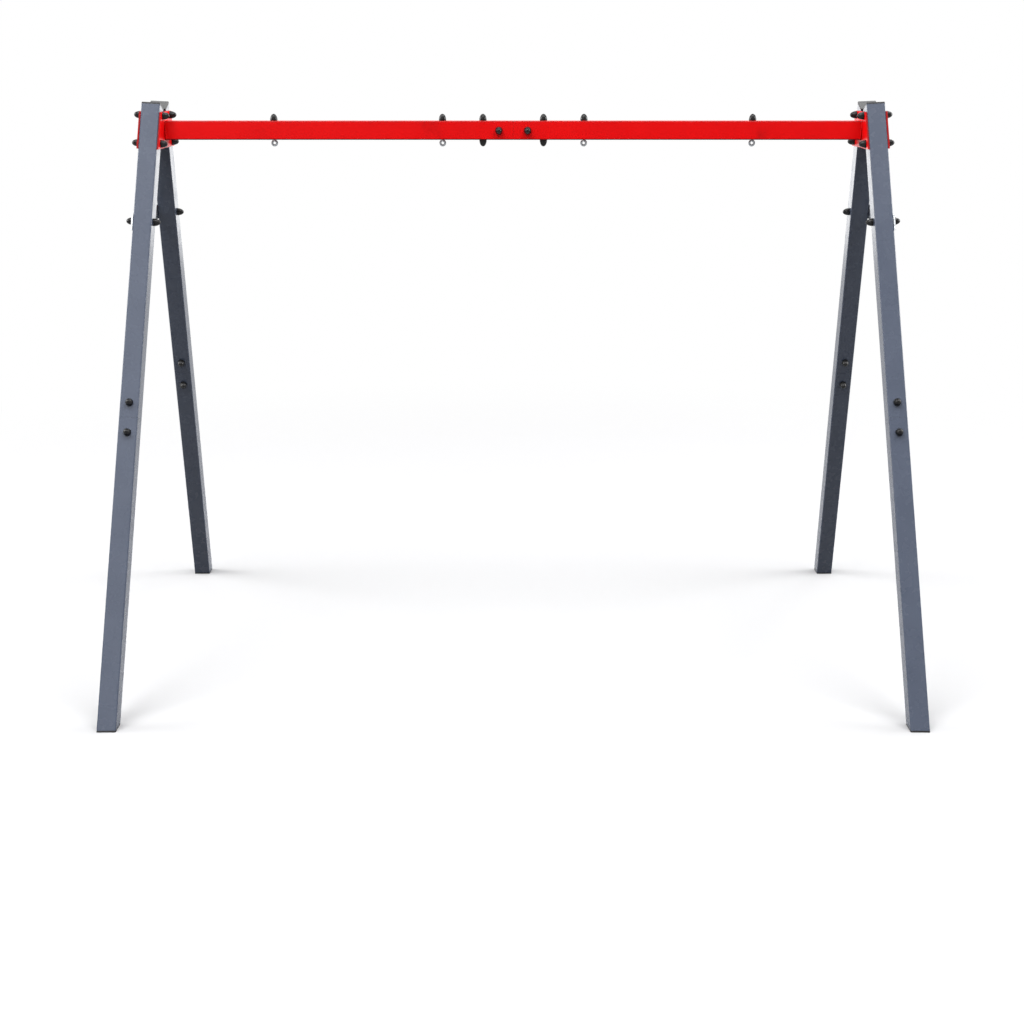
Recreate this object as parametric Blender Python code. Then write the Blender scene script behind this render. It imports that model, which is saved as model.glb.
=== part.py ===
"""Double swing frame: a red beam in two halves, carried by two leaning A-frames of square steel tube.

Left is -X, right is +X, front is -Y, and the four feet stand on z = 0.
"""

import math

import bmesh
import bpy
from mathutils import Matrix, Vector

# Driving dimensions, in metres.
TUBE_WIDTH = 0.060
TUBE_WALL = 0.002
TUBE_CORNER = 0.004
GAP = 0.0003  # air between two pieces that touch

# The two legs of an A-frame would meet at an apex above the beam. Each A-frame leans
# outward on its way down, and its legs spread to the front and to the rear.
APEX_X = 1.1685
APEX_HEIGHT = 1.9631
LEAN = math.radians(2.6)
LEG_SPREAD = math.radians(22.3)

# Places down a leg's centre line, as distances from the apex.
LEG_TOP = 0.1183
BRACKET_BOLTS = {"upper": 0.1463, "lower": 0.2410}
TIE_BOLT = 0.5029
LEG_SEAM = 1.148
LEG_SPLICE_BOLTS = {"upper": 1.100, "lower": 1.196}

# Plates, as distances below the apex in the leaning plane of the A-frame.
PLATE_THICKNESS = 0.005
BRACKET_TOP = 0.1234
BRACKET_BOTTOM = 0.2391
TIE_TOP = 0.4405
TIE_BOTTOM = 0.4897

# The beam runs along X; its bolts and eyes are placed by their distance from its middle.
BEAM_HEIGHT = 1.7786
BEAM_UPRIGHT_BOLT = 0.0995
BEAM_LEVEL_BOLT = 0.0470
EYE_BOLTS = {"outer": 0.7866, "inner": 0.2323}

# Sleeves that join the tubes end to end, hidden inside them.
SLEEVE_WALL = 0.0025
SLEEVE_CORNER = 0.0035
SLEEVE_PLAY = 0.0005
BEAM_SLEEVE_HALF = 0.140
LEG_SLEEVE_HALF = 0.090

# Plastic covers at the ends of the legs.
TOP_COVER = 0.0053
FOOT_COVER = 0.005
COVER_INSERT = 0.020
COVER_CORNER = 0.0035

# Bolts through the tubes, with a dome cap over the head and over the nut.
BOLT_RADIUS = 0.005
HOLE_RADIUS = 0.0058
DOME_RADIUS = 0.0121
DOME_HEIGHT = 0.0221
DOME_TIP = 0.0012
DOME_POINT = 0.56  # 0.5 is half an ellipse, and more is more pointed
DOME_STEPS = (0.34, 0.57, 0.76, 0.90, 1.0)  # shares of the dome's height, up to its blunt tip
DRILL_HALF = 0.045

# Eye bolts: a ring of round bar hangs close under the beam.
EYE_SHANK_RADIUS = 0.004
EYE_HOLE_RADIUS = 0.0048
EYE_BAR_RADIUS = 0.0035
EYE_RING_RADIUS = 0.0077

# Numbers of flat sides that stand in for round ones.
CORNER_STEPS = 2
HOLE_SIDES = 8
ROUND_SIDES = 10
EYE_RING_STEPS = 16

SIDES = {"left": -1, "right": 1}
ENDS = {"front": -1, "rear": 1}

TURNED_FRONT = Matrix.Rotation(math.radians(90), 4, "X")
TURNED_ALONG = Matrix.Rotation(math.radians(90), 4, "Y")


def moved(x=0.0, z=0.0):
    """A move along X or Z."""
    return Matrix.Translation((x, 0, z))


def add_material(name, colour, roughness, metallic):
    """A material with one colour, given as linear red, green and blue."""
    material = bpy.data.materials.new(name)
    material.use_nodes = True
    shader = material.node_tree.nodes["Principled BSDF"]
    shader.inputs["Base Color"].default_value = (*colour, 1.0)
    shader.inputs["Roughness"].default_value = roughness
    shader.inputs["Metallic"].default_value = metallic
    return material


def add_band(shape, first, second):
    """Faces from one ring of vertices to the next, with triangles where the counts differ."""
    here = there = 0
    while here + there < len(first) + len(second):
        step_here = (here + 1) * len(second) <= (there + 1) * len(first)
        step_there = (there + 1) * len(first) <= (here + 1) * len(second)
        corners = [second[there % len(second)], first[here % len(first)]]
        if step_here:
            corners.append(first[(here + 1) % len(first)])
        if step_there:
            corners.append(second[(there + 1) % len(second)])
        shape.faces.new(corners)
        here += step_here
        there += step_there


def loft(rings, closed=False, shape=None):
    """A solid through rings of points. Its ends are capped, or joined to each other if closed."""
    shape = shape or bmesh.new()
    vertex_rings = [[shape.verts.new(point) for point in ring] for ring in rings]
    for first, second in zip(vertex_rings, vertex_rings[1:]):
        add_band(shape, first, second)
    if closed:
        add_band(shape, vertex_rings[-1], vertex_rings[0])
    else:
        shape.faces.new(vertex_rings[0])
        shape.faces.new(vertex_rings[-1])
    bmesh.ops.recalc_face_normals(shape, faces=shape.faces)
    return shape


def add_piece(name, shape, material, parent, place):
    """One object made of the shape, at its place in its parent's axes."""
    mesh = bpy.data.meshes.new(name)
    shape.to_mesh(mesh)
    shape.free()
    mesh.shade_smooth()
    mesh.set_sharp_from_angle(angle=math.radians(35))
    mesh.materials.append(material)
    piece = bpy.data.objects.new(name, mesh)
    piece.parent = parent
    piece.matrix_local = place
    bpy.context.scene.collection.objects.link(piece)
    return piece


def add_axis(name, place):
    """An empty that carries the pieces built on one axis."""
    axis = bpy.data.objects.new(name, None)
    axis.matrix_local = place
    bpy.context.scene.collection.objects.link(axis)
    return axis


def use_tool(piece, tool, operation="DIFFERENCE"):
    """Cut the piece with a hidden tool, or join the tool to it."""
    tool.hide_render = True
    tool.display_type = "WIRE"
    boolean = piece.modifiers.new(tool.name, "BOOLEAN")
    boolean.operation = operation
    boolean.object = tool
    boolean.solver = "EXACT"


def round_ring(radius, height, sides=ROUND_SIDES):
    """Points on a level circle."""
    turns = [2 * math.pi * step / sides for step in range(sides)]
    return [(radius * math.cos(turn), radius * math.sin(turn), height) for turn in turns]


def square_ring(width, corner, cut):
    """Points round a square tube's section, where a cut (height, x slope, y slope) ends it."""
    height, slope_x, slope_y = cut
    inset = width / 2 - corner
    points = []
    for quarter in range(4):
        middle = math.pi / 2 * (quarter + 0.5)
        for step in range(CORNER_STEPS + 1):
            turn = math.pi / 2 * (quarter + step / CORNER_STEPS)
            x = math.copysign(inset, math.cos(middle)) + corner * math.cos(turn)
            y = math.copysign(inset, math.sin(middle)) + corner * math.sin(turn)
            points.append((x, y, height + slope_x * x + slope_y * y))
    return points


def square_tube(width, wall, corner, low_cut, high_cut):
    """A hollow square tube along Z between two cuts."""
    inner_width = width - 2 * wall
    inner_corner = corner - wall
    rings = [
        square_ring(width, corner, low_cut),
        square_ring(width, corner, high_cut),
        square_ring(inner_width, inner_corner, high_cut),
        square_ring(inner_width, inner_corner, low_cut),
    ]
    return loft(rings, closed=True)


def sleeve(middle, half_length):
    """The short tube that fits inside two others where they meet."""
    width = TUBE_WIDTH - 2 * (TUBE_WALL + SLEEVE_PLAY)
    low_cut = (middle - half_length, 0, 0)
    high_cut = (middle + half_length, 0, 0)
    return square_tube(width, SLEEVE_WALL, SLEEVE_CORNER, low_cut, high_cut)


def tube_cover(outer_cut, rim_cut, insert_cut):
    """A plastic cover: a rim as wide as the tube, and a narrower plug that goes into it."""
    insert_width = TUBE_WIDTH - 2 * (TUBE_WALL + SLEEVE_PLAY)
    insert_corner = TUBE_CORNER - TUBE_WALL
    return loft([
        square_ring(TUBE_WIDTH, COVER_CORNER, outer_cut),
        square_ring(TUBE_WIDTH, COVER_CORNER, rim_cut),
        square_ring(insert_width, insert_corner, rim_cut),
        square_ring(insert_width, insert_corner, insert_cut),
    ])


def level_cut(height, side, end):
    """The level plane at a height above the feet, as a cut in the axes of one leg."""
    leg_axes = Matrix.Rotation(-side * LEAN, 3, "Y") @ Matrix.Rotation(end * LEG_SPREAD, 3, "X")
    up = leg_axes.transposed() @ Vector((0, 0, 1))
    return (height - APEX_HEIGHT) / up.z, -up.x / up.z, -up.y / up.z


def leg_edge(depth):
    """How far the outer edge of a leg is from the A-frame's middle, at a depth below the apex."""
    return depth * math.tan(LEG_SPREAD) + TUBE_WIDTH / 2 / math.cos(LEG_SPREAD)


def leg_plate(top, bottom, first_face, second_face):
    """A plate across both legs, whose slanted ends are flush with the legs."""
    outline = [
        (-leg_edge(bottom), -bottom),
        (leg_edge(bottom), -bottom),
        (leg_edge(top), -top),
        (-leg_edge(top), -top),
    ]
    return loft([[(face, y, z) for y, z in outline] for face in (first_face, second_face)])


def dome(base):
    """The rings of a dome cap that stands on a face at this height and rises away from the origin."""
    away = math.copysign(1, base)
    rings = [round_ring(DOME_RADIUS, base)]
    for share in DOME_STEPS:
        radius = max(DOME_RADIUS * (1 - share ** 2) ** DOME_POINT, DOME_TIP)
        rings.append(round_ring(radius, base + away * share * DOME_HEIGHT))
    return rings


def capped_bolt(grip):
    """A bolt along Z through a grip centred on the origin, with its two dome caps."""
    face = grip / 2 + GAP
    shank = [round_ring(BOLT_RADIUS, -face), round_ring(BOLT_RADIUS, face)]
    return loft(dome(-face)[::-1] + shank + dome(face))


def drill(name, radius, parent, places):
    """Round bars that cut the bolts' holes through everything on their way."""
    bars = bmesh.new()
    for place in places:
        ends = [round_ring(radius, height, HOLE_SIDES) for height in (-DRILL_HALF, DRILL_HALF)]
        loft([[place @ Vector(point) for point in ring] for ring in ends], shape=bars)
    return add_piece(name, bars, plain_steel, parent, Matrix.Identity(4))


def add_bolts(places, grip, parent):
    """A bolt with its caps at each named place."""
    for name, place in places.items():
        add_piece(name, capped_bolt(grip), bolt_black, parent, place)


def add_leg(side_name, end_name, parent, holes):
    """One leg: two tubes, the sleeve that joins them, and a plastic cover at each end."""
    side = SIDES[side_name]
    end = ENDS[end_name]
    name = end_name + "_" + side_name + "_leg_"
    place = Matrix.Rotation(end * LEG_SPREAD, 4, "X")

    foot_end = level_cut(FOOT_COVER + GAP, side, end)
    below_seam = (-LEG_SEAM - GAP / 2, 0, 0)
    above_seam = (-LEG_SEAM + GAP / 2, 0, 0)
    top_end = (-LEG_TOP, 0, 0)
    upper = square_tube(TUBE_WIDTH, TUBE_WALL, TUBE_CORNER, above_seam, top_end)
    lower = square_tube(TUBE_WIDTH, TUBE_WALL, TUBE_CORNER, foot_end, below_seam)
    use_tool(add_piece(name + "upper", upper, grey_paint, parent, place), holes)
    use_tool(add_piece(name + "lower", lower, grey_paint, parent, place), holes)
    inside = sleeve(-LEG_SEAM, LEG_SLEEVE_HALF)
    use_tool(add_piece(name + "sleeve", inside, plain_steel, parent, place), holes)

    rim = GAP - LEG_TOP
    top = tube_cover((rim + TOP_COVER, 0, 0), (rim, 0, 0), (rim - COVER_INSERT, 0, 0))
    add_piece(name + "top_cover", top, black_plastic, parent, place)
    heights = (0, FOOT_COVER, FOOT_COVER + COVER_INSERT)
    foot = tube_cover(*(level_cut(height, side, end) for height in heights))
    add_piece(name + "foot_cover", foot, black_plastic, parent, place)


def add_a_frame(side_name):
    """Two legs, the two bracket plates that hold the beam, the outer tie plate and the bolts."""
    side = SIDES[side_name]
    lean = Matrix.Rotation(-side * LEAN, 4, "Y")
    frame = add_axis(side_name + "_a_frame_axis", moved(side * APEX_X, APEX_HEIGHT) @ lean)
    outward = Matrix.Rotation(side * math.radians(90), 4, "Y")
    face = TUBE_WIDTH / 2 + GAP
    plate_face = face + PLATE_THICKNESS
    tie_grip = TUBE_WIDTH + GAP + PLATE_THICKNESS

    bracket_bolts = {}
    tie_bolts = {}
    splice_bolts = {}
    for end_name, end in ENDS.items():
        leg = Matrix.Rotation(end * LEG_SPREAD, 4, "X")
        ending = "_" + side_name + "_" + end_name
        tie_middle = moved(z=(tie_grip - TUBE_WIDTH) / 2)
        tie_bolts["tie_bolt" + ending] = leg @ moved(z=-TIE_BOLT) @ outward @ tie_middle
        for row, distance in BRACKET_BOLTS.items():
            bracket_bolts["bracket_bolt" + ending + "_" + row] = leg @ moved(z=-distance) @ outward
        for row, distance in LEG_SPLICE_BOLTS.items():
            splice_bolts["leg_splice_bolt" + ending + "_" + row] = leg @ moved(z=-distance) @ TURNED_FRONT
    add_bolts(bracket_bolts, 2 * plate_face, frame)
    add_bolts(tie_bolts, tie_grip, frame)
    add_bolts(splice_bolts, TUBE_WIDTH, frame)

    places = [*bracket_bolts.values(), *tie_bolts.values(), *splice_bolts.values()]
    holes = drill(side_name + "_holes", HOLE_RADIUS, frame, places)
    for end_name in ENDS:
        add_leg(side_name, end_name, frame, holes)
    inner_plate = leg_plate(BRACKET_TOP, BRACKET_BOTTOM, -side * plate_face, -side * face)
    outer_plate = leg_plate(BRACKET_TOP, BRACKET_BOTTOM, side * face, side * plate_face)
    tie_plate = leg_plate(TIE_TOP, TIE_BOTTOM, side * face, side * plate_face)
    upright = Matrix.Identity(4)
    use_tool(add_piece(side_name + "_bracket_inner_plate", inner_plate, red_paint, frame, upright), holes)
    use_tool(add_piece(side_name + "_bracket_outer_plate", outer_plate, red_paint, frame, upright), holes)
    use_tool(add_piece(side_name + "_tie_plate", tie_plate, zinc, frame, upright), holes)


def beam_half_length():
    """Half the beam's length at its mid height, up to the leaning face of an inner plate."""
    plate_face = TUBE_WIDTH / 2 + GAP + PLATE_THICKNESS
    depth = APEX_HEIGHT - BEAM_HEIGHT
    return APEX_X + depth * math.tan(LEAN) - (plate_face + GAP) / math.cos(LEAN)


def add_beam():
    """The two halves of the beam, the sleeve inside them, their bolts and the four eye bolts."""
    axis = add_axis("beam_axis", moved(z=BEAM_HEIGHT))
    splice_bolts = {}
    eye_bolts = {}
    for side_name, side in SIDES.items():
        splice_bolts["beam_upright_bolt_" + side_name] = moved(side * BEAM_UPRIGHT_BOLT)
        splice_bolts["beam_level_bolt_" + side_name] = moved(side * BEAM_LEVEL_BOLT) @ TURNED_FRONT
        for place_name, distance in EYE_BOLTS.items():
            eye_bolts["eye_bolt_" + side_name + "_" + place_name] = moved(side * distance)
    add_bolts(splice_bolts, TUBE_WIDTH, axis)
    for name, place in eye_bolts.items():
        add_eye_bolt(name, axis, place)

    holes = drill("beam_holes", HOLE_RADIUS, axis, splice_bolts.values())
    eye_holes = drill("eye_bolt_holes", EYE_HOLE_RADIUS, axis, eye_bolts.values())
    for side_name, side in SIDES.items():
        middle_cut = (side * GAP / 2, 0, 0)
        plate_cut = (side * beam_half_length(), side * math.tan(LEAN), 0)
        low_cut, high_cut = sorted((middle_cut, plate_cut))
        shape = square_tube(TUBE_WIDTH, TUBE_WALL, TUBE_CORNER, low_cut, high_cut)
        half = add_piece("beam_half_" + side_name, shape, red_paint, axis, TURNED_ALONG)
        use_tool(half, holes)
        use_tool(half, eye_holes)
    inside = sleeve(0, BEAM_SLEEVE_HALF)
    use_tool(add_piece("beam_splice_sleeve", inside, plain_steel, axis, TURNED_ALONG), holes)


def add_eye_bolt(name, parent, place):
    """A bolt through the beam with a dome cap above it and a ring below it, open to the front."""
    beam_face = TUBE_WIDTH / 2 + GAP
    ring_middle = -beam_face - EYE_RING_RADIUS - EYE_BAR_RADIUS
    rings = []
    for step in range(EYE_RING_STEPS):
        turn = Matrix.Rotation(2 * math.pi * step / EYE_RING_STEPS, 4, "Y")
        bar = moved(z=ring_middle) @ turn @ moved(EYE_RING_RADIUS)
        rings.append([bar @ Vector(point) for point in round_ring(EYE_BAR_RADIUS, 0, HOLE_SIDES)])
    eye = add_piece(name, loft(rings, closed=True), plain_steel, parent, place)
    shank = [
        round_ring(EYE_SHANK_RADIUS, ring_middle + EYE_RING_RADIUS),
        round_ring(EYE_SHANK_RADIUS, beam_face),
    ]
    use_tool(eye, add_piece(name + "_shank", loft(shank + dome(beam_face)), plain_steel, parent, place), "UNION")


for old_object in list(bpy.data.objects):
    bpy.data.objects.remove(old_object)

red_paint = add_material("red_paint", (0.76, 0.006, 0.007), 0.35, 0.0)
grey_paint = add_material("grey_paint", (0.06, 0.075, 0.09), 0.32, 0.0)
zinc = add_material("zinc", (0.62, 0.63, 0.64), 0.38, 1.0)
plain_steel = add_material("plain_steel", (0.45, 0.46, 0.47), 0.35, 1.0)
black_plastic = add_material("black_plastic", (0.012, 0.012, 0.014), 0.40, 0.0)
bolt_black = add_material("bolt_black", (0.010, 0.010, 0.012), 0.22, 0.0)

for a_frame_side in SIDES:
    add_a_frame(a_frame_side)
add_beam()
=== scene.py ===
"""Looks of a double swing frame: a red beam of square tube between two anthracite A-frames.

Left is -X, right is +X, front is -Y, and the feet stand on z = 0. All sizes are in metres.
"""

import math

import bmesh
import bpy
from mathutils import Matrix, Vector


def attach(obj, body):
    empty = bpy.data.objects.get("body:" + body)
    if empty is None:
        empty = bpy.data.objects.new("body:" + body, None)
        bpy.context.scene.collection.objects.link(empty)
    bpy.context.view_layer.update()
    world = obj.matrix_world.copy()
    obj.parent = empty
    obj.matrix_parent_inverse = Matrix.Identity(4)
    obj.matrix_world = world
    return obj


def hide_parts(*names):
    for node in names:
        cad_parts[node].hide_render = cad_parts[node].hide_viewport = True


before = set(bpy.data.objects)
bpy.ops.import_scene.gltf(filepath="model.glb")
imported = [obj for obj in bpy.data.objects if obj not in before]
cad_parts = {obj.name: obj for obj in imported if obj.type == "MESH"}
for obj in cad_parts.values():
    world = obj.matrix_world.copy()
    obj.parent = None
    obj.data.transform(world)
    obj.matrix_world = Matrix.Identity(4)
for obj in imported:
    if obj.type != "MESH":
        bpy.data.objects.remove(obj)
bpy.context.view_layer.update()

SIDES = {"left": -1, "right": 1}
ENDS = {"front": -1, "rear": 1}

# A face looks toward a direction, or square or straight along it, when its normal has more than
# this much of it.
TOWARD = 0.7
SQUARE_ALONG = 0.9
STRAIGHT_ALONG = 0.99

SMOOTH_ANGLE = math.radians(32)  # corners sharper than this stay sharp
ROUND_SIDES = 32


# Beam
# Two halves of 60 mm square steel tube with rolled corners, powder coated glossy red after
# drilling. They meet in the middle over a hidden sleeve, and each far end leans with its plate.

TUBE_WIDTH = 0.060
TUBE_WALL = 0.002
TUBE_CORNER = 0.004
CORNER_SEGMENTS = 6
END_ROUNDING = 0.0004
SEAM_GAP = 0.0003
PLATE_THICKNESS = 0.005
APEX_X = 1.1685
APEX_HEIGHT = 1.9631
LEAN = math.radians(2.6)
BEAM_HEIGHT = 1.7786
BEAM_UPRIGHT_BOLT = 0.0995
BEAM_LEVEL_BOLT = 0.0470
BOLT_HOLE = 0.0056
DRILL_REACH = 0.045
EYE_BOLTS = {"outer": 0.7866, "inner": 0.2323}
EYE_HOLE = 0.0046

RED = "D70507"
RED_SHADE = "D00406"
# A deeper red, painted on rolled corners and cut edges as shade.
RED_PAINTED_EDGE_SHADE = "860304"

NOISE_LOW = 0.35
NOISE_HIGH = 0.65  # most of a noise lies between these two
FILM_CLOUDS = 0.110  # clouds of film thickness
GLOSS_PATCHES = 0.030
ORANGE_PEEL = 0.004  # real cells are 1 to 2 mm wide, and they are drawn wider so that they show
PEEL_DEPTH = 0.00006


def linear(hex_colour):
    """An sRGB hex colour as linear red, green, blue and alpha."""
    channels = [int(hex_colour[place:place + 2], 16) / 255 for place in (0, 2, 4)]
    return *(c / 12.92 if c <= 0.04045 else ((c + 0.055) / 1.055) ** 2.4 for c in channels), 1.0


def add_node(tree, kind, settings=None, links=None):
    """Add a node. Settings are its properties or its inputs' values, and links feed its inputs."""
    node = tree.nodes.new(kind)
    for name, value in (settings or {}).items():
        if isinstance(name, str) and hasattr(node, name):
            setattr(node, name, value)
        else:
            node.inputs[name].default_value = value
    for name, output in (links or {}).items():
        tree.links.new(output, node.inputs[name])
    return node


def new_finish(name, settings):
    """A material with its Principled shader set; returns the material, its tree and the shader."""
    material = bpy.data.materials.new(name)
    material.use_nodes = True
    tree = material.node_tree
    shader = tree.nodes["Principled BSDF"]
    for socket, value in settings.items():
        shader.inputs[socket].default_value = value
    return material, tree, shader


def powder_coat(name, colour, shade, settings, edge=None):
    """Baked polyester powder: glossy, slightly uneven in tone, with a faint orange peel; an edge colour
    is painted on as shade.
    """
    material, tree, shader = new_finish(name, settings)
    place = add_node(tree, "ShaderNodeTexCoord").outputs["Object"]
    clouds = add_node(tree, "ShaderNodeTexNoise", {"Scale": 1 / FILM_CLOUDS, "Detail": 3.0},
                      {"Vector": place})
    film_and_painted_shade = clouds.outputs["Fac"]
    if edge:
        # Painted shade: rolled corners and cut edges, which face along both Y and Z here, get a deeper
        # red.
        facing = add_node(tree, "ShaderNodeTexCoord").outputs["Normal"]
        facing = add_node(tree, "ShaderNodeVectorMath", {"operation": "ABSOLUTE"}, {0: facing})
        parts = add_node(tree, "ShaderNodeSeparateXYZ", links={"Vector": facing.outputs["Vector"]})
        both = add_node(tree, "ShaderNodeMath", {"operation": "MINIMUM"},
                        {0: parts.outputs["Y"], 1: parts.outputs["Z"]})
        painted_shade_mask = add_node(tree, "ShaderNodeMapRange", {"From Min": 0.12, "From Max": 0.34},
                          {"Value": both.outputs["Value"]})
        shaded_film = add_node(tree, "ShaderNodeMath", {"operation": "SUBTRACT"},
                        {0: film_and_painted_shade, 1: painted_shade_mask.outputs["Result"]})
        film_and_painted_shade = shaded_film.outputs["Value"]
    tone = add_node(tree, "ShaderNodeValToRGB", links={"Fac": film_and_painted_shade})
    tone.color_ramp.elements[0].position = NOISE_LOW
    tone.color_ramp.elements[0].color = linear(shade)
    tone.color_ramp.elements[1].position = NOISE_HIGH
    tone.color_ramp.elements[1].color = linear(colour)
    # Painted shade: where the mask is full, the ramp's first stop gives the deeper edge red.
    if edge:
        tone.color_ramp.elements.new(0.0).color = linear(edge)
    tree.links.new(tone.outputs["Color"], shader.inputs["Base Color"])
    rough = settings["Roughness"]
    patches = add_node(tree, "ShaderNodeTexNoise", {"Scale": 1 / GLOSS_PATCHES, "Detail": 4.0},
                       {"Vector": place})
    spread = {"From Min": 0.3, "From Max": 0.7, "To Min": rough - 0.04, "To Max": rough + 0.05}
    matt = add_node(tree, "ShaderNodeMapRange", spread, {"Value": patches.outputs["Fac"]})
    tree.links.new(matt.outputs["Result"], shader.inputs["Roughness"])
    peel = add_node(tree, "ShaderNodeTexNoise", {"Scale": 1 / ORANGE_PEEL, "Detail": 1.0},
                    {"Vector": place})
    bump = add_node(tree, "ShaderNodeBump", {"Strength": 0.25, "Distance": PEEL_DEPTH},
                    {"Height": peel.outputs["Fac"]})
    tree.links.new(bump.outputs["Normal"], shader.inputs["Normal"])
    return material


def select(piece, kind, wanted):
    """In edit mode, select only the piece's faces or edges that pass the test."""
    bpy.ops.mesh.select_mode(type=kind)
    bpy.ops.mesh.select_all(action="DESELECT")
    shape = bmesh.from_edit_mesh(piece.data)
    for element in shape.faces if kind == "FACE" else shape.edges:
        if wanted(element):
            element.select_set(True)
    bmesh.update_edit_mesh(piece.data)


def start_box(name, size, middle=(0, 0, 0)):
    """Add a box of this size and go into edit mode."""
    bpy.ops.object.select_all(action="DESELECT")
    bpy.ops.mesh.primitive_cube_add(size=1, location=middle, scale=size)
    box = bpy.context.object
    box.name = name
    bpy.ops.object.transform_apply()
    bpy.ops.object.mode_set(mode="EDIT")
    return box


def start_cylinder(name, radius, low, high, sides):
    """Add an upright cylinder between two heights and go into edit mode."""
    bpy.ops.object.select_all(action="DESELECT")
    bpy.ops.mesh.primitive_cylinder_add(vertices=sides, radius=radius, depth=high - low,
                                        location=(0, 0, (low + high) / 2))
    cylinder = bpy.context.object
    cylinder.name = name
    bpy.ops.object.transform_apply()
    bpy.ops.object.mode_set(mode="EDIT")
    return cylinder


def faces_along_z(edge):
    """Whether one of the edge's two faces looks toward Z and the other doesn't."""
    ends = [abs(face.normal.z) > TOWARD for face in edge.link_faces]
    return len(ends) == 2 and ends[0] != ends[1]


def cut_square_bar(name, width, corner, low_plane, high_plane):
    """A square bar along Z with round corners, cut by two planes (height on the axis, normal)."""
    spare = width
    low, high = low_plane[0] - spare, high_plane[0] + spare
    bar = start_box(name, (width, width, high - low), (0, 0, (low + high) / 2))
    select(bar, "EDGE", lambda edge: abs(edge.verts[0].co.z - edge.verts[1].co.z) > spare)
    bpy.ops.mesh.bevel(offset=corner, segments=CORNER_SEGMENTS, affect="EDGES")
    for height, normal in (low_plane, high_plane):
        bpy.ops.mesh.select_all(action="SELECT")
        bpy.ops.mesh.bisect(plane_co=(0, 0, height), plane_no=normal, use_fill=True, clear_outer=True)
    return bar


def square_tube(name, low_plane, high_plane):
    """A hollow square tube along Z between two planes, its four rims slightly rounded."""
    tube = cut_square_bar(name, TUBE_WIDTH, TUBE_CORNER, low_plane, high_plane)
    select(tube, "FACE", lambda face: abs(face.normal.z) > TOWARD)
    bpy.ops.mesh.inset(thickness=TUBE_WALL)
    bpy.ops.mesh.bridge_edge_loops()
    select(tube, "EDGE", faces_along_z)
    bpy.ops.mesh.bevel(offset=END_ROUNDING, segments=2, affect="EDGES")
    bpy.ops.object.mode_set(mode="OBJECT")
    return tube


def drill(piece, places, radius):
    """Drill round holes through the piece, each along Z of a place."""
    drills = []
    for place in places:
        bar = start_cylinder("drill", radius, -DRILL_REACH, DRILL_REACH, ROUND_SIDES)
        bpy.ops.object.mode_set(mode="OBJECT")
        bar.data.transform(place)
        drills.append(bar)
    for bar in drills:
        bar.select_set(True)
    bpy.ops.object.join()
    cutter = bpy.context.object
    cut = piece.modifiers.new("holes", "BOOLEAN")
    cut.object = cutter
    cut.solver = "EXACT"
    bpy.context.view_layer.objects.active = piece
    bpy.ops.object.modifier_apply(modifier=cut.name)
    bpy.data.objects.remove(cutter)


def settle(piece, place, material, slot, *nodes):
    """Put a finished piece in its place, smooth its round faces and hide the parts it stands for."""
    bpy.ops.object.select_all(action="DESELECT")
    bpy.context.view_layer.objects.active = piece
    piece.select_set(True)
    piece.data.name = piece.name
    piece.data.transform(place)
    bpy.ops.object.shade_smooth_by_angle(angle=SMOOTH_ANGLE)
    bpy.ops.object.modifier_add(type="WEIGHTED_NORMAL")
    piece.modifiers[-1].keep_sharp = True
    bpy.ops.object.modifier_apply(modifier=piece.modifiers[-1].name)
    piece.data.materials.clear()
    piece.data.materials.append(material)
    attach(piece, "root")
    if nodes:
        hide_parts(*nodes)
    return piece


UPRIGHT = Matrix.Identity(4)
TURNED_FRONT = Matrix.Rotation(math.radians(90), 4, "X")
BEAM_PLACE = Matrix.Translation((0, 0, BEAM_HEIGHT))
BEAM_ALONG = BEAM_PLACE @ Matrix.Rotation(math.radians(90), 4, "Y")
A_FRAMES = {
    name: Matrix.Translation((side * APEX_X, 0, APEX_HEIGHT)) @ Matrix.Rotation(-side * LEAN, 4, "Y")
    for name, side in SIDES.items()
}
PLATE_FACE = TUBE_WIDTH / 2 + SEAM_GAP + PLATE_THICKNESS
BEAM_REACH = (APEX_X + (APEX_HEIGHT - BEAM_HEIGHT) * math.tan(LEAN)
              - (PLATE_FACE + SEAM_GAP) / math.cos(LEAN))

red_coat = powder_coat("glossy_red_powder_coat", RED, RED_SHADE, {
    "Roughness": 0.40,
    "IOR": 1.5,
    "Specular IOR Level": 0.12,
}, RED_PAINTED_EDGE_SHADE)

for side_name, side in SIDES.items():
    leaning = Vector((side * math.tan(LEAN), 0, side))
    planes = ((side * BEAM_REACH, leaning), (side * SEAM_GAP / 2, Vector((0, 0, -side))))
    low_plane, high_plane = sorted(planes, key=lambda plane: plane[0])
    half = square_tube("beam_tube_" + side_name, low_plane, high_plane)
    along = BEAM_ALONG.inverted() @ BEAM_PLACE
    upright = along @ Matrix.Translation((side * BEAM_UPRIGHT_BOLT, 0, 0))
    level = along @ Matrix.Translation((side * BEAM_LEVEL_BOLT, 0, 0)) @ TURNED_FRONT
    drill(half, [upright, level], BOLT_HOLE)
    eyes = [along @ Matrix.Translation((side * distance, 0, 0)) for distance in EYE_BOLTS.values()]
    drill(half, eyes, EYE_HOLE)
    settle(half, BEAM_ALONG, red_coat, "red_paint", "beam_half_" + side_name)


# Beam welds
# A bead of weld runs round each beam end where it meets the inner plate. It is laid in short
# overlapping puddles and painted over with the beam.

WELD_RADIUS = 0.0021
WELD_INSET = 1.1 * WELD_RADIUS
WELD_PUDDLES = 72
WELD_RIPPLE = 0.10
WELD_SIDES = 10


def square_reach(turn, half_width, corner):
    """How far a square with round corners reaches from its middle in one direction."""
    x, y = abs(math.cos(turn)), abs(math.sin(turn))
    inset = half_width - corner
    flat = half_width / max(x, y)
    if min(x, y) * flat <= inset:
        return flat
    along = (x + y) * inset
    return along + math.sqrt(along ** 2 - 2 * inset ** 2 + corner ** 2)


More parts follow.
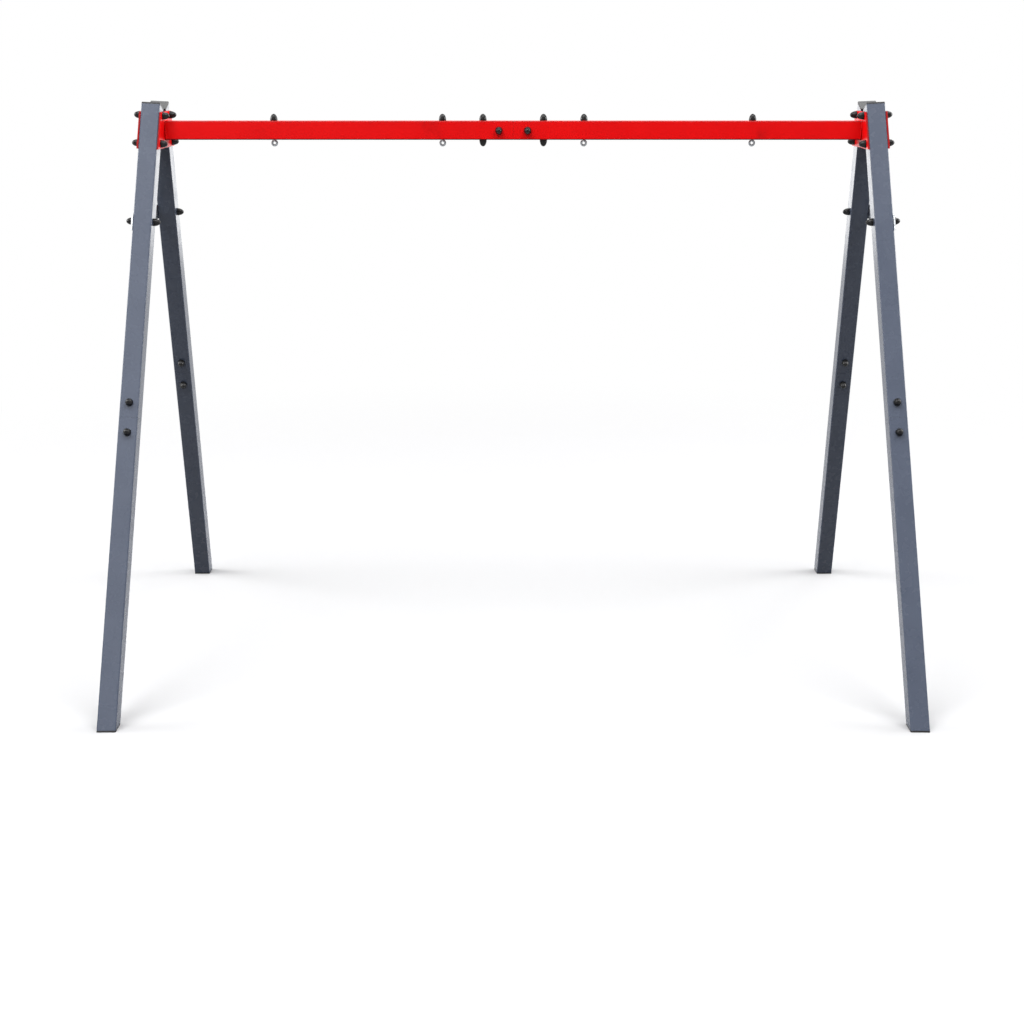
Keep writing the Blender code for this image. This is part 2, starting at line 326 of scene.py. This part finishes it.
for side_name, side in SIDES.items():
    bpy.ops.object.select_all(action="DESELECT")
    bpy.ops.mesh.primitive_torus_add(major_radius=TUBE_WIDTH, minor_radius=WELD_RADIUS,
                                     major_segments=4 * WELD_PUDDLES, minor_segments=WELD_SIDES)
    bead = bpy.context.object
    bead.name = "beam_weld_" + side_name
    for vertex in bead.data.vertices:
        turn = math.atan2(vertex.co.y, vertex.co.x)
        off_line = math.hypot(vertex.co.x, vertex.co.y) - TUBE_WIDTH
        swell = 1 + WELD_RIPPLE * math.cos(WELD_PUDDLES * turn)
        reach = square_reach(turn, TUBE_WIDTH / 2, TUBE_CORNER) + off_line * swell
        x, y = reach * math.cos(turn), reach * math.sin(turn)
        lean = math.tan(LEAN) * side * -x
        height = side * (BEAM_REACH - WELD_INSET) + lean + vertex.co.z * swell
        vertex.co = (x, y, height)
    settle(bead, BEAM_ALONG, red_coat, "red_paint")


# Bracket plates
# Laser cut 5 mm steel, red like the beam. The inner plate of each side is welded to the beam
# and the outer one is loose, and four bolts clamp the two legs between them.

LEG_SPREAD = math.radians(22.3)
BRACKET_TOP = 0.1234
BRACKET_BOTTOM = 0.2391
BRACKET_BOLTS = {"upper": 0.1463, "lower": 0.2410}
TIE_BOLT = 0.5029
PLATE_CORNER = 0.002
PLATE_ROUNDING = 0.0005


def leg_edge(depth):
    """How far a leg's outer edge is from the A-frame's middle, at a depth below the apex."""
    return depth * math.tan(LEG_SPREAD) + TUBE_WIDTH / 2 / math.cos(LEG_SPREAD)


def leg_plate(name, top, bottom, middle_x):
    """A flat plate across both legs: a box whose top is drawn in to follow the legs."""
    size = (PLATE_THICKNESS, 2 * leg_edge(bottom), bottom - top)
    plate = start_box(name, size, (middle_x, 0, -(top + bottom) / 2))
    select(plate, "FACE", lambda face: face.normal.z > SQUARE_ALONG)
    bpy.ops.transform.resize(value=(1, leg_edge(top) / leg_edge(bottom), 1))
    select(plate, "EDGE",
           lambda edge: abs(edge.verts[0].co.x - edge.verts[1].co.x) > PLATE_THICKNESS / 2)
    bpy.ops.mesh.bevel(offset=PLATE_CORNER, segments=4, affect="EDGES")
    select(plate, "EDGE",
           lambda edge: sum(abs(face.normal.x) > SQUARE_ALONG for face in edge.link_faces) == 1)
    bpy.ops.mesh.bevel(offset=PLATE_ROUNDING, segments=2, affect="EDGES")
    bpy.ops.object.mode_set(mode="OBJECT")
    return plate


def leg_places(side, distances):
    """Places on both legs of an A-frame at these distances from the apex, with Z pointing outward."""
    outward = Matrix.Rotation(side * math.radians(90), 4, "Y")
    return [Matrix.Rotation(end * LEG_SPREAD, 4, "X") @ Matrix.Translation((0, 0, -distance)) @ outward
            for end in ENDS.values() for distance in distances]


PLATE_MIDDLE = TUBE_WIDTH / 2 + SEAM_GAP + PLATE_THICKNESS / 2
for side_name, side in SIDES.items():
    for layer, layer_side in (("inner", -side), ("outer", side)):
        name = side_name + "_bracket_" + layer + "_plate"
        plate = leg_plate(name + "_sheet", BRACKET_TOP, BRACKET_BOTTOM, layer_side * PLATE_MIDDLE)
        drill(plate, leg_places(side, BRACKET_BOLTS.values()), BOLT_HOLE)
        settle(plate, A_FRAMES[side_name], red_coat, "red_paint", name)


# Tie plates
# Flat zinc plated bar, 5 mm thick, bolted across the outer side of each A-frame under the
# bracket. Zinc is a pale bluish grey metal with a fine cloudy grain and a soft shine.

TIE_TOP = 0.4405
TIE_BOTTOM = 0.4897

ZINC = "C9CCCF"
ZINC_SHADE = "B4B8BC"
BAR_GRAIN = 0.012
GRAIN_DEPTH = 0.00005


def plated_steel(name, colour, shade, settings, grain):
    """Plated or bare rolled steel: a metal shine broken by a cloudy grain of this size."""
    material, tree, shader = new_finish(name, {"Metallic": 1.0, **settings})
    place = add_node(tree, "ShaderNodeTexCoord").outputs["Object"]
    clouds = add_node(tree, "ShaderNodeTexNoise", {"Scale": 1 / grain, "Detail": 5.0, "Roughness": 0.6},
                      {"Vector": place})
    tone = add_node(tree, "ShaderNodeValToRGB", links={"Fac": clouds.outputs["Fac"]})
    tone.color_ramp.elements[0].position = 0.38
    tone.color_ramp.elements[0].color = linear(shade)
    tone.color_ramp.elements[1].position = 0.62
    tone.color_ramp.elements[1].color = linear(colour)
    tree.links.new(tone.outputs["Color"], shader.inputs["Base Color"])
    rough = settings["Roughness"]
    spread = {"From Min": 0.35, "From Max": 0.65, "To Min": rough - 0.07, "To Max": rough + 0.08}
    matt = add_node(tree, "ShaderNodeMapRange", spread, {"Value": clouds.outputs["Fac"]})
    tree.links.new(matt.outputs["Result"], shader.inputs["Roughness"])
    bump = add_node(tree, "ShaderNodeBump", {"Strength": 0.2, "Distance": GRAIN_DEPTH},
                    {"Height": clouds.outputs["Fac"]})
    tree.links.new(bump.outputs["Normal"], shader.inputs["Normal"])
    return material


zinc_bar = plated_steel("bright_zinc_plated_bar", ZINC, ZINC_SHADE, {"Roughness": 0.36}, BAR_GRAIN)

for side_name, side in SIDES.items():
    tie = leg_plate(side_name + "_tie_bar", TIE_TOP, TIE_BOTTOM, side * PLATE_MIDDLE)
    drill(tie, leg_places(side, [TIE_BOLT]), BOLT_HOLE)
    settle(tie, A_FRAMES[side_name], zinc_bar, "zinc", side_name + "_tie_plate")


# Legs
# Each leg is two lengths of the same square tube, powder coated anthracite and joined over a
# sleeve at mid height. The top is cut square, and the foot is cut level with the ground.

LEG_TOP = 0.1183
LEG_SEAM = 1.148
LEG_SPLICE_BOLTS = {"upper": 1.100, "lower": 1.196}
FOOT_COVER = 0.005

ANTHRACITE = "474E5D"
ANTHRACITE_SHADE = "434A59"

grey_coat = powder_coat("glossy_anthracite_powder_coat", ANTHRACITE, ANTHRACITE_SHADE, {
    "Roughness": 0.26,
    "IOR": 1.5,
    "Specular IOR Level": 0.30,
})


def level_plane(place, height, upward):
    """A level plane at this height, in the axes of a leg's place, looking up or down."""
    to_leg = place.inverted()
    level = to_leg.to_3x3() @ Vector((0, 0, 1))
    to_ground = (height - place.translation.z) / level.z
    return to_ground, level * upward


for side_name, side in SIDES.items():
    for end_name, end in ENDS.items():
        name = end_name + "_" + side_name + "_leg"
        leg = A_FRAMES[side_name] @ Matrix.Rotation(end * LEG_SPREAD, 4, "X")
        outward = Matrix.Rotation(side * math.radians(90), 4, "Y")
        sideways = [Matrix.Translation((0, 0, -distance)) @ outward
                    for distance in (*BRACKET_BOLTS.values(), TIE_BOLT)]
        splices = {row: Matrix.Translation((0, 0, -distance)) @ TURNED_FRONT
                   for row, distance in LEG_SPLICE_BOLTS.items()}

        upper_foot = (-LEG_SEAM + SEAM_GAP / 2, Vector((0, 0, -1)))
        upper = square_tube(name + "_upper_tube", upper_foot, (-LEG_TOP, Vector((0, 0, 1))))
        drill(upper, [*sideways, splices["upper"]], BOLT_HOLE)
        settle(upper, leg, grey_coat, "grey_paint", name + "_upper")

        lower_head = (-LEG_SEAM - SEAM_GAP / 2, Vector((0, 0, 1)))
        foot_plane = level_plane(leg, FOOT_COVER + SEAM_GAP, -1)
        lower = square_tube(name + "_lower_tube", foot_plane, lower_head)
        drill(lower, [splices["lower"]], BOLT_HOLE)
        settle(lower, leg, grey_coat, "grey_paint", name + "_lower")


# Leg covers
# Injection moulded polyethylene plugs, black with a satin skin. A thin lid closes the top of
# each leg, and a thicker shoe follows the level cut of the foot.

TOP_COVER = 0.0053
COVER_INSERT = 0.020
COVER_WALL = 0.0025
COVER_HOLLOW = 0.85  # how much of the insert's depth is open
COVER_PLAY = 0.0005
COVER_CORNER = 0.0035
COVER_ROUNDING = 0.0012

SATIN_BLACK = "1B1C1E"
SATIN_BLACK_SHADE = "151618"
SATIN_SKIN = 0.0015
FLOW_MARKS = 0.015
SKIN_DEPTH = 0.00005


def moulded_plastic(name, colour, shade, settings, grain):
    """Moulded plastic: soft flow marks under a fine skin texture of this size from the mould."""
    material, tree, shader = new_finish(name, settings)
    place = add_node(tree, "ShaderNodeTexCoord").outputs["Object"]
    flow = add_node(tree, "ShaderNodeTexNoise", {"Scale": 1 / FLOW_MARKS, "Detail": 3.0},
                    {"Vector": place})
    tone = add_node(tree, "ShaderNodeValToRGB", links={"Fac": flow.outputs["Fac"]})
    tone.color_ramp.elements[0].position = NOISE_LOW
    tone.color_ramp.elements[0].color = linear(shade)
    tone.color_ramp.elements[1].position = NOISE_HIGH
    tone.color_ramp.elements[1].color = linear(colour)
    tree.links.new(tone.outputs["Color"], shader.inputs["Base Color"])
    skin = add_node(tree, "ShaderNodeTexNoise", {"Scale": 1 / grain, "Detail": 2.0}, {"Vector": place})
    rough = settings["Roughness"]
    spread = {"From Min": 0.3, "From Max": 0.7, "To Min": rough - 0.03, "To Max": rough + 0.06}
    matt = add_node(tree, "ShaderNodeMapRange", spread, {"Value": skin.outputs["Fac"]})
    tree.links.new(matt.outputs["Result"], shader.inputs["Roughness"])
    bump = add_node(tree, "ShaderNodeBump", {"Strength": 0.2, "Distance": SKIN_DEPTH},
                    {"Height": skin.outputs["Fac"]})
    tree.links.new(bump.outputs["Normal"], shader.inputs["Normal"])
    return material


cover_black = moulded_plastic("satin_black_polyethylene", SATIN_BLACK, SATIN_BLACK_SHADE, {
    "Roughness": 0.42,
    "IOR": 1.5,
    "Specular IOR Level": 0.35,
}, SATIN_SKIN)


def leg_cover(name, rim_plane, outer_plane, insert_plane, rounding):
    """A plug for a tube's end: a rim as wide as the tube, and a narrower hollow insert."""
    low_plane, high_plane = sorted((rim_plane, outer_plane), key=lambda plane: plane[0])
    rim = cut_square_bar(name, TUBE_WIDTH, COVER_CORNER, low_plane, high_plane)
    outward = outer_plane[1]
    select(rim, "FACE", lambda face: face.normal.dot(outward) < -SQUARE_ALONG)
    bpy.ops.mesh.inset(thickness=TUBE_WALL + COVER_PLAY)
    inward = Vector((0, 0, insert_plane[0] - rim_plane[0]))
    bpy.ops.mesh.extrude_region_move(TRANSFORM_OT_translate={"value": inward})
    bpy.ops.mesh.inset(thickness=COVER_WALL)
    bpy.ops.mesh.extrude_region_move(TRANSFORM_OT_translate={"value": -COVER_HOLLOW * inward})
    select(rim, "EDGE",
           lambda edge: sum(face.normal.dot(outward) > SQUARE_ALONG for face in edge.link_faces) == 1)
    bpy.ops.mesh.bevel(offset=rounding, segments=3, affect="EDGES")
    bpy.ops.object.mode_set(mode="OBJECT")
    return rim


for side_name in SIDES:
    for end_name, end in ENDS.items():
        name = end_name + "_" + side_name + "_leg"
        leg = A_FRAMES[side_name] @ Matrix.Rotation(end * LEG_SPREAD, 4, "X")
        rim_height = SEAM_GAP - LEG_TOP
        rim = (rim_height, Vector((0, 0, -1)))
        outer = (rim_height + TOP_COVER, Vector((0, 0, 1)))
        insert = (rim_height - COVER_INSERT, Vector((0, 0, -1)))
        lid = leg_cover(name + "_lid", rim, outer, insert, COVER_ROUNDING)
        settle(lid, leg, cover_black, "black_plastic", name + "_top_cover")

        rim = level_plane(leg, FOOT_COVER, 1)
        outer = level_plane(leg, 0, -1)
        insert = level_plane(leg, FOOT_COVER + COVER_INSERT, 1)
        shoe = leg_cover(name + "_shoe", rim, outer, insert, COVER_ROUNDING / 2)
        settle(shoe, leg, cover_black, "black_plastic", name + "_foot_cover")


# Bolts and dome caps
# M10 hexagon bolts, zinc plated. Over the head and over the nut sits a two piece cap of glossy
# black polyethylene: a base ring, and an egg shaped lid that snaps onto it.

BOLT_RADIUS = 0.005
HEAD_RADIUS = 0.0092
HEAD_HEIGHT = 0.0064
HEAD_OVERLAP = 0.001  # how far the shank runs into the head
HEXAGON_CHAMFER = 0.0006
NUT_HEIGHT = 0.008
BOLT_TIP = 0.003
BAR_CHAMFER = 0.0003
WASHER_RADIUS = 0.0100
WASHER_THICKNESS = 0.0016
DOME_RADIUS = 0.0123
DOME_HEIGHT = 0.0221
DOME_TIP = 0.0005
DOME_POINT = 0.48  # 0.5 is half an ellipse, and less is blunter
DOME_SIDES = 40
DOME_RINGS = 16
RING_HEIGHT = 0.0042
GROOVE = 0.0003
GROOVE_DEPTH = 1.5 * GROOVE
CAP_WALL = 0.0016
CAP_HOLLOW = ((0.0100, 0.92), (0.0055, 0.69))  # each step up inside, and how far it narrows

CAP_BLACK = "0D0D0E"
CAP_BLACK_SHADE = "0A0A0B"
CAP_SKIN = 0.002
BOLT_GRAIN = 0.003

cap_black = moulded_plastic("glossy_black_polyethylene", CAP_BLACK, CAP_BLACK_SHADE, {
    "Roughness": 0.33,
    "IOR": 1.5,
    "Specular IOR Level": 0.25,
}, CAP_SKIN)
bolt_zinc = plated_steel("zinc_plated_fasteners", ZINC, ZINC_SHADE, {"Roughness": 0.32}, BOLT_GRAIN)


def dome_cap():
    """One hollow egg shaped cap that stands on the origin, with a groove over its base ring."""
    cap = start_cylinder("dome_cap", DOME_RADIUS, 0, DOME_HEIGHT, DOME_SIDES)
    turns = [math.pi / 2 * step / DOME_RINGS for step in range(1, DOME_RINGS)]
    heights = [DOME_HEIGHT * math.sin(turn) for turn in turns]
    clear_heights = [height for height in heights if abs(height - RING_HEIGHT) > 2 * GROOVE]
    for height in (*clear_heights, RING_HEIGHT - GROOVE, RING_HEIGHT, RING_HEIGHT + GROOVE):
        bpy.ops.mesh.select_all(action="SELECT")
        bpy.ops.mesh.bisect(plane_co=(0, 0, height), plane_no=(0, 0, 1))
    bpy.ops.object.mode_set(mode="OBJECT")
    for vertex in cap.data.vertices:
        share = min(vertex.co.z / DOME_HEIGHT, 1)
        radius = max(DOME_RADIUS * (1 - share ** 2) ** DOME_POINT, DOME_TIP)
        if abs(vertex.co.z - RING_HEIGHT) < GROOVE / 2:
            radius -= GROOVE_DEPTH
        vertex.co.xy *= radius / DOME_RADIUS
    bpy.ops.object.mode_set(mode="EDIT")
    select(cap, "FACE", lambda face: face.normal.z < -STRAIGHT_ALONG)
    bpy.ops.mesh.inset(thickness=CAP_WALL)
    for rise, narrowing in CAP_HOLLOW:
        bpy.ops.mesh.extrude_region_move(TRANSFORM_OT_translate={"value": (0, 0, rise)})
        bpy.ops.transform.resize(value=(narrowing, narrowing, 1), center_override=(0, 0, 0))
    select(cap, "EDGE", lambda edge: all(vertex.co.z < GROOVE / 2 for vertex in edge.verts)
           and all(vertex.co.xy.length > DOME_RADIUS * 0.95 for vertex in edge.verts))
    bpy.ops.mesh.bevel(offset=GROOVE, segments=2, affect="EDGES")
    bpy.ops.object.mode_set(mode="OBJECT")
    return cap


def hexagon(name, low, high):
    """A hexagon head or nut with its outer corners chamfered."""
    block = start_cylinder(name, HEAD_RADIUS, low, high, 6)
    select(block, "EDGE", faces_along_z)
    bpy.ops.mesh.bevel(offset=HEXAGON_CHAMFER, segments=1, affect="EDGES")
    bpy.ops.object.mode_set(mode="OBJECT")
    return block


def round_bar(name, radius, low, high):
    """A round bar or disc with its rims slightly chamfered."""
    bar = start_cylinder(name, radius, low, high, ROUND_SIDES)
    select(bar, "EDGE", faces_along_z)
    bpy.ops.mesh.bevel(offset=BAR_CHAMFER, segments=1, affect="EDGES")
    bpy.ops.object.mode_set(mode="OBJECT")
    return bar


def join(name, parts):
    """Join finished parts into one piece."""
    bpy.ops.object.select_all(action="DESELECT")
    for part in parts:
        part.select_set(True)
    bpy.context.view_layer.objects.active = parts[0]
    bpy.ops.object.join()
    parts[0].name = name
    return parts[0]


def copy_of(pattern, name):
    """A copy of a modelled piece, with its own mesh."""
    piece = pattern.copy()
    piece.data = pattern.data.copy()
    piece.name = name
    bpy.context.scene.collection.objects.link(piece)
    return piece


def capped_bolt(node, place, grip, cap_pattern):
    """A bolt with washers and nut through a grip centred on the place, and its two caps."""
    face = grip / 2 + SEAM_GAP
    seat = face + WASHER_THICKNESS
    steel = join(node + "_steel", [
        round_bar("shank", BOLT_RADIUS, -seat - NUT_HEIGHT - BOLT_TIP, seat + HEAD_OVERLAP),
        hexagon("head", seat, seat + HEAD_HEIGHT),
        hexagon("nut", -seat - NUT_HEIGHT, -seat),
        round_bar("head_washer", WASHER_RADIUS, face, seat),
        round_bar("nut_washer", WASHER_RADIUS, -seat, -face),
    ])
    settle(steel, place, bolt_zinc, "plain_steel", node)
    flip = Matrix.Rotation(math.radians(180), 4, "X")
    for end_name, turn in (("head", UPRIGHT), ("nut", flip)):
        cap = copy_of(cap_pattern, node + "_" + end_name + "_cap")
        cap_place = place @ turn @ Matrix.Translation((0, 0, face))
        settle(cap, cap_place, cap_black, "bolt_black", node)


cap_pattern = dome_cap()
for side_name, side in SIDES.items():
    a_frame = A_FRAMES[side_name]
    for end_name, end in ENDS.items():
        leg = a_frame @ Matrix.Rotation(end * LEG_SPREAD, 4, "X")
        outward = Matrix.Rotation(side * math.radians(90), 4, "Y")
        ending = "_" + side_name + "_" + end_name
        for row, distance in BRACKET_BOLTS.items():
            place = leg @ Matrix.Translation((0, 0, -distance)) @ outward
            capped_bolt("bracket_bolt" + ending + "_" + row, place, 2 * PLATE_FACE, cap_pattern)
        for row, distance in LEG_SPLICE_BOLTS.items():
            place = leg @ Matrix.Translation((0, 0, -distance)) @ TURNED_FRONT
            capped_bolt("leg_splice_bolt" + ending + "_" + row, place, TUBE_WIDTH, cap_pattern)
        grip = TUBE_WIDTH + SEAM_GAP + PLATE_THICKNESS
        shift = Matrix.Translation((0, 0, (grip - TUBE_WIDTH) / 2))
        place = leg @ Matrix.Translation((0, 0, -TIE_BOLT)) @ outward @ shift
        capped_bolt("tie_bolt" + ending, place, grip, cap_pattern)
    place = BEAM_PLACE @ Matrix.Translation((side * BEAM_UPRIGHT_BOLT, 0, 0))
    capped_bolt("beam_upright_bolt_" + side_name, place, TUBE_WIDTH, cap_pattern)
    place = BEAM_PLACE @ Matrix.Translation((side * BEAM_LEVEL_BOLT, 0, 0)) @ TURNED_FRONT
    capped_bolt("beam_level_bolt_" + side_name, place, TUBE_WIDTH, cap_pattern)


# Eye bolts
# Zinc plated steel: a threaded 8 mm shank through the beam, and below it an open ring of 7 mm
# round bar whose tip ends just before the shank. A nut under a dome cap holds each one.

EYE_BAR = 0.0035
EYE_RING = 0.0077
EYE_SHANK = 0.004
EYE_NECK = 1.6 * EYE_BAR  # how far the shank runs below the beam, into the ring
EYE_RING_STEPS = 48
EYE_OPEN = math.radians(28)

EYE_ZINC = "A3A6A9"
EYE_ZINC_SHADE = "8C9094"
EYE_GRAIN = 0.004

eye_zinc = plated_steel("zinc_plated_eye", EYE_ZINC, EYE_ZINC_SHADE, {"Roughness": 0.30}, EYE_GRAIN)


def bent_ring():
    """The ring of one eye: round bar along an arc that starts at the shank and stops before it."""
    middle = -TUBE_WIDTH / 2 - SEAM_GAP - EYE_RING - EYE_BAR
    path = bpy.data.curves.new("ring", "CURVE")
    path.dimensions = "3D"
    path.bevel_depth = EYE_BAR
    path.bevel_resolution = 4
    path.use_fill_caps = True
    line = path.splines.new("POLY")
    line.points.add(EYE_RING_STEPS)
    for step, point in enumerate(line.points):
        turn = step / EYE_RING_STEPS * (2 * math.pi - EYE_OPEN)
        point.co = (EYE_RING * math.sin(turn), 0, middle + EYE_RING * math.cos(turn), 1)
    ring = bpy.data.objects.new("ring", path)
    bpy.context.scene.collection.objects.link(ring)
    bpy.ops.object.select_all(action="DESELECT")
    bpy.context.view_layer.objects.active = ring
    ring.select_set(True)
    bpy.ops.object.convert(target="MESH")
    return ring


for side_name, side in SIDES.items():
    for place_name, distance in EYE_BOLTS.items():
        node = "eye_bolt_" + side_name + "_" + place_name
        place = BEAM_PLACE @ Matrix.Translation((side * distance, 0, 0))
        face = TUBE_WIDTH / 2 + SEAM_GAP
        eye = join(node + "_eye", [
            bent_ring(),
            round_bar("shank", EYE_SHANK, -face - EYE_NECK, face + NUT_HEIGHT + BOLT_TIP),
        ])
        settle(eye, place, eye_zinc, "plain_steel", node)
        nut = hexagon(node + "_nut", face, face + NUT_HEIGHT)
        settle(nut, place, bolt_zinc, "plain_steel", node)
        cap = copy_of(cap_pattern, node + "_cap")
        settle(cap, place @ Matrix.Translation((0, 0, face)), cap_black, "bolt_black", node)
bpy.data.objects.remove(cap_pattern)


# Sleeves
# Short bare tubes that slide into the legs and the beam halves where they meet. They are cold
# rolled steel with an oily grey skin, and no side of the finished frame shows them.

ROLLED_STEEL = "8D8F92"
ROLLED_STEEL_SHADE = "77797C"
ROLLED_GRAIN = 0.020

sleeve_steel = plated_steel("oiled_cold_rolled_steel", ROLLED_STEEL, ROLLED_STEEL_SHADE,
                            {"Roughness": 0.40}, ROLLED_GRAIN)

hidden_sleeves = ["beam_splice_sleeve"]
hidden_sleeves += [f"{end_name}_{side_name}_leg_sleeve" for end_name in ENDS for side_name in SIDES]
for node in hidden_sleeves:
    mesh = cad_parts[node].data
    mesh.materials.clear()
    mesh.materials.append(sleeve_steel)


# Floor, lights and camera
# A pale studio floor that fades into the white background. Two large soft key lamps hang high
# over the front, with a broad panel under each, and one stands at each side. Three panels behind
# give the glossy back and side faces their pale sheen.

# The floor is pale where it is seen, and darker for the light that it sends up, as a lawn is.
FLOOR_SIZE = 60.0
FLOOR_PALE = "A8A8A9"
FLOOR_BOUNCE = "363636"
FADE_START = 1.9
FADE_END = 5.0

CAMERA_PLACE = (0.0, -5.4774, 1.9961)
CAMERA_PITCH = math.radians(90 - 15.53)
LENS = 56.99
SENSOR = 36.0
SHIFT_X = -0.0012

WORLD_FILL = 0.15
WORLD_FRONT = 0.15
PANELS = {
    "key_left": ((-6.3, -6.4, 16.6), (0, 0, 1.0), (10.0, 10.0), 3300),
    "key_right": ((6.3, -6.4, 16.6), (0, 0, 1.0), (10.0, 10.0), 2840),
    "front_left": ((-3.2, -7.2, 4.6), (-1.3, 0, 0.9), (4.0, 6.5), 188),
    "front_right": ((3.2, -7.2, 4.6), (1.3, 0, 0.9), (4.0, 6.5), 78),
    "left_side": ((-9.0, 0.5, 4.2), (0, 0, 1.2), (5.0, 3.5), 800),
    "right_side": ((9.0, 0.5, 4.2), (0, 0, 1.2), (5.0, 3.5), 760),
    "back_wall": ((0, 9.0, 1.1), (0, 0, 1.1), (10.0, 1.7), 110),
    "back_top": ((0, 6.0, 8.5), (0, 0, 1.0), (11.0, 4.0), 390),
    "back_right": ((5.5, 5.5, 7.5), (0, 0, 1.0), (2.0, 2.0), 180),
}

bpy.ops.object.select_all(action="DESELECT")
bpy.ops.mesh.primitive_plane_add(size=FLOOR_SIZE, location=(0, 0, 0))
floor = bpy.context.object
floor.name = "floor"
floor_finish, floor_tree, floor_shader = new_finish("pale_floor", {
    "Roughness": 0.9,
    "Specular IOR Level": 0.1,
})
floor.data.materials.append(floor_finish)


def seen_rays(tree):
    """1 for rays from the camera, from gloss or through glass, and 0 for the rest."""
    path = add_node(tree, "ShaderNodeLightPath")
    seen = add_node(tree, "ShaderNodeMath", {"operation": "MAXIMUM"},
                    {0: path.outputs["Is Camera Ray"], 1: path.outputs["Is Glossy Ray"]})
    seen = add_node(tree, "ShaderNodeMath", {"operation": "MAXIMUM"},
                    {0: seen.outputs["Value"], 1: path.outputs["Is Transmission Ray"]})
    return seen.outputs["Value"]


floor_seen = seen_rays(floor_tree)
floor_tone = add_node(floor_tree, "ShaderNodeValToRGB", links={"Fac": floor_seen})
floor_tone.color_ramp.elements[0].color = linear(FLOOR_BOUNCE)
floor_tone.color_ramp.elements[1].color = linear(FLOOR_PALE)
floor_tree.links.new(floor_tone.outputs["Color"], floor_shader.inputs["Base Color"])
floor_place = add_node(floor_tree, "ShaderNodeTexCoord").outputs["Object"]
floor_reach = add_node(floor_tree, "ShaderNodeVectorMath", {"operation": "LENGTH"}, {0: floor_place})
fade = add_node(floor_tree, "ShaderNodeMapRange",
                {"interpolation_type": "SMOOTHSTEP", "From Min": FADE_START, "From Max": FADE_END},
                {"Value": floor_reach.outputs["Value"]})
far_and_seen = add_node(floor_tree, "ShaderNodeMath", {"operation": "MULTIPLY"},
                        {0: fade.outputs["Result"], 1: floor_seen})
white = add_node(floor_tree, "ShaderNodeEmission", {"Strength": 1.0})
floor_mix = add_node(floor_tree, "ShaderNodeMixShader", links={
    0: far_and_seen.outputs["Value"], 1: floor_shader.outputs["BSDF"], 2: white.outputs["Emission"],
})
floor_tree.links.new(floor_mix.outputs["Shader"], floor_tree.nodes["Material Output"].inputs["Surface"])

# The world is white where it is seen. Gloss sees it dim toward the front, where the room behind
# a photographer is dark.
world = bpy.data.worlds.new("studio")
bpy.context.scene.world = world
world.use_nodes = True
world_tree = world.node_tree
background = world_tree.nodes["Background"]
background.inputs["Color"].default_value = (1, 1, 1, 1)
heading = add_node(world_tree, "ShaderNodeTexCoord").outputs["Generated"]
heading_parts = add_node(world_tree, "ShaderNodeSeparateXYZ", links={"Vector": heading})
backward = add_node(world_tree, "ShaderNodeMapRange",
                    {"interpolation_type": "SMOOTHSTEP", "From Min": -0.3, "From Max": 0.5,
                     "To Min": WORLD_FRONT, "To Max": 1.0},
                    {"Value": heading_parts.outputs["Y"]})
path = add_node(world_tree, "ShaderNodeLightPath")
lighting = add_node(world_tree, "ShaderNodeMapRange", {"To Min": WORLD_FILL},
                    {"Value": path.outputs["Is Glossy Ray"], "To Max": backward.outputs["Result"]})
seen = add_node(world_tree, "ShaderNodeMath", {"operation": "MAXIMUM"},
                {0: path.outputs["Is Camera Ray"], 1: path.outputs["Is Transmission Ray"]})
strength = add_node(world_tree, "ShaderNodeMath", {"operation": "MAXIMUM"},
                    {0: seen.outputs["Value"], 1: lighting.outputs["Result"]})
world_tree.links.new(strength.outputs["Value"], background.inputs["Strength"])

for name, (place, target, size, power) in PANELS.items():
    light = bpy.data.lights.new(name, "AREA")
    light.shape = "RECTANGLE"
    light.size, light.size_y = size
    light.energy = power
    panel = bpy.data.objects.new(name, light)
    panel.location = place
    panel.rotation_euler = (Vector(target) - Vector(place)).to_track_quat("-Z", "Y").to_euler()
    panel.visible_camera = False
    bpy.context.scene.collection.objects.link(panel)

camera = bpy.data.cameras.new("camera")
camera.lens = LENS
camera.sensor_width = SENSOR
camera.shift_x = SHIFT_X
viewpoint = bpy.data.objects.new("camera", camera)
viewpoint.location = CAMERA_PLACE
viewpoint.rotation_euler = (CAMERA_PITCH, 0, 0)
bpy.context.scene.collection.objects.link(viewpoint)
bpy.context.scene.camera = viewpoint
bpy.context.scene.view_settings.view_transform = "Standard"
